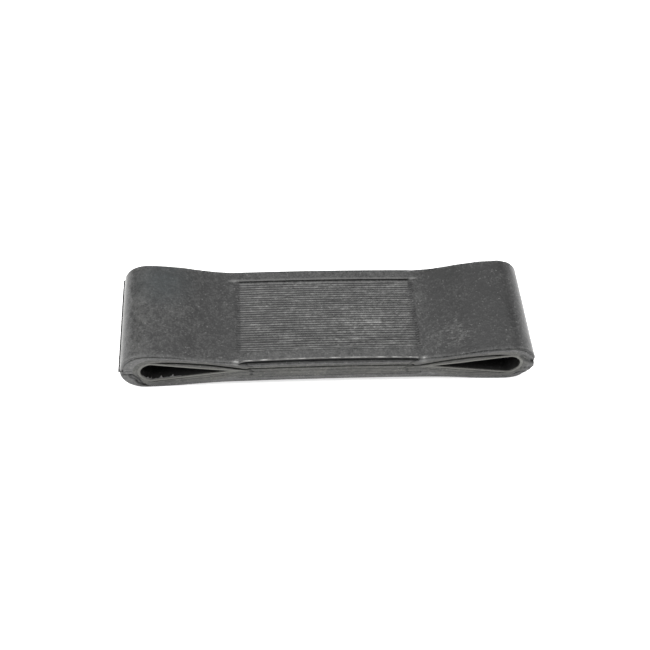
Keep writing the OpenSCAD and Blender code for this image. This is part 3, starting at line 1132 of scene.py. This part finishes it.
# Square soft lights that face the link: name, width in metres, power in watts, place in metres.
SOFTBOXES = (
    ("top softbox", 2.4, 42, (0, 0.1, 2.2)),
    ("back softbox", 2.0, 9, (0.2, 2.0, 1.9)),
    ("left softbox", 2.2, 54, (-2.2, 0.0, 1.2)),
    ("right softbox", 2.2, 40, (2.2, 0.3, 1.0)),
)


class RUBBERLINK_OT_stage(bpy.types.Operator):
    """Build the pale floor, the soft lights and the camera"""

    bl_idname = "rubberlink.stage"
    bl_label = "Stage"

    def execute(self, context):
        self.floor()
        self.lights(context.scene)
        self.camera(context.scene)
        return {"FINISHED"}

    def floor(self):
        """A wide sheet of white paper under the link."""
        bm = bmesh.new()
        bmesh.ops.create_grid(bm, x_segments=8, y_segments=8, size=FLOOR_HALF)
        bmesh.ops.translate(bm, vec=(0, 0, -FLOOR_GAP * MM), verts=bm.verts)
        obj = placed("floor", bm)
        obj.data.materials.append(studio_floor(hexes().floor))

    def lights(self, scene):
        """The softboxes, and an even white glow from all round."""
        for name, size, power, place in SOFTBOXES:
            data = bpy.data.lights.new(name, "AREA")
            data.shape = "SQUARE"
            data.size = size
            data.energy = power
            obj = bpy.data.objects.new(name, data)
            obj.location = place
            obj.rotation_euler = (Vector() - Vector(place)).to_track_quat("-Z", "Y").to_euler()
            scene.collection.objects.link(obj)
        world = bpy.data.worlds.new("white studio")
        scene.world = world
        world.use_nodes = True
        sky = world.node_tree.nodes["Background"]
        sky.inputs["Color"].default_value = (1, 1, 1, 1)
        sky.inputs["Strength"].default_value = 0.3
        scene.view_settings.view_transform = "Standard"

    def camera(self, scene):
        """A camera that looks at its target from this far round, above it and away, and tilted."""
        t = scene.rubber_link_stage
        a, e, r = (math.radians(v) for v in (t.azimuth, t.elevation, t.roll))
        back = Vector((math.sin(a) * math.cos(e), -math.cos(a) * math.cos(e), math.sin(e)))
        right = (-back).cross(Vector((0, 0, 1))).normalized()
        up = right.cross(-back)
        x_axis = right * math.cos(r) + up * math.sin(r)
        y_axis = up * math.cos(r) - right * math.sin(r)
        data = bpy.data.cameras.new("camera")
        data.lens = t.lens
        data.sensor_width = SENSOR_W
        obj = bpy.data.objects.new("camera", data)
        place = (Vector(t.target) + back * t.distance) * MM
        turn = Matrix((x_axis, y_axis, back)).transposed().to_4x4()
        obj.matrix_world = Matrix.Translation(place) @ turn
        scene.collection.objects.link(obj)
        scene.camera = obj


class RUBBERLINK_PT_build(bpy.types.Panel):
    """Build buttons in the 3D view's sidebar"""

    bl_label = "Rubber Link"
    bl_idname = "RUBBERLINK_PT_build"
    bl_space_type = "VIEW_3D"
    bl_region_type = "UI"
    bl_category = "Rubber Link"

    def draw(self, context):
        for operator in OPERATORS:
            self.layout.operator(operator.bl_idname)


GROUPS = {
    "rubber_link_shape": RubberLinkShape,
    "rubber_link_pad": RubberLinkPad,
    "rubber_link_colours": RubberLinkColours,
    "rubber_link_stage": RubberLinkStage,
}
OPERATORS = (
    RUBBERLINK_OT_top_cover,
    RUBBERLINK_OT_flash,
    RUBBERLINK_OT_bottom_cover,
    RUBBERLINK_OT_edge_gum,
    RUBBERLINK_OT_liners,
    RUBBERLINK_OT_shreds,
    RUBBERLINK_OT_fillers,
    RUBBERLINK_OT_inner_layers,
    RUBBERLINK_OT_stage,
)
CLASSES = (*GROUPS.values(), *OPERATORS, RUBBERLINK_PT_build)


def register():
    for cls in CLASSES:
        bpy.utils.register_class(cls)
    for name, group in GROUPS.items():
        setattr(bpy.types.Scene, name, PointerProperty(type=group))


def unregister():
    for name in GROUPS:
        delattr(bpy.types.Scene, name)
    for cls in reversed(CLASSES):
        bpy.utils.unregister_class(cls)


def main():
    register()
    for operator in OPERATORS:
        area, name = operator.bl_idname.split(".")
        getattr(getattr(bpy.ops, area), name)()


if __name__ == "__main__":
    main()
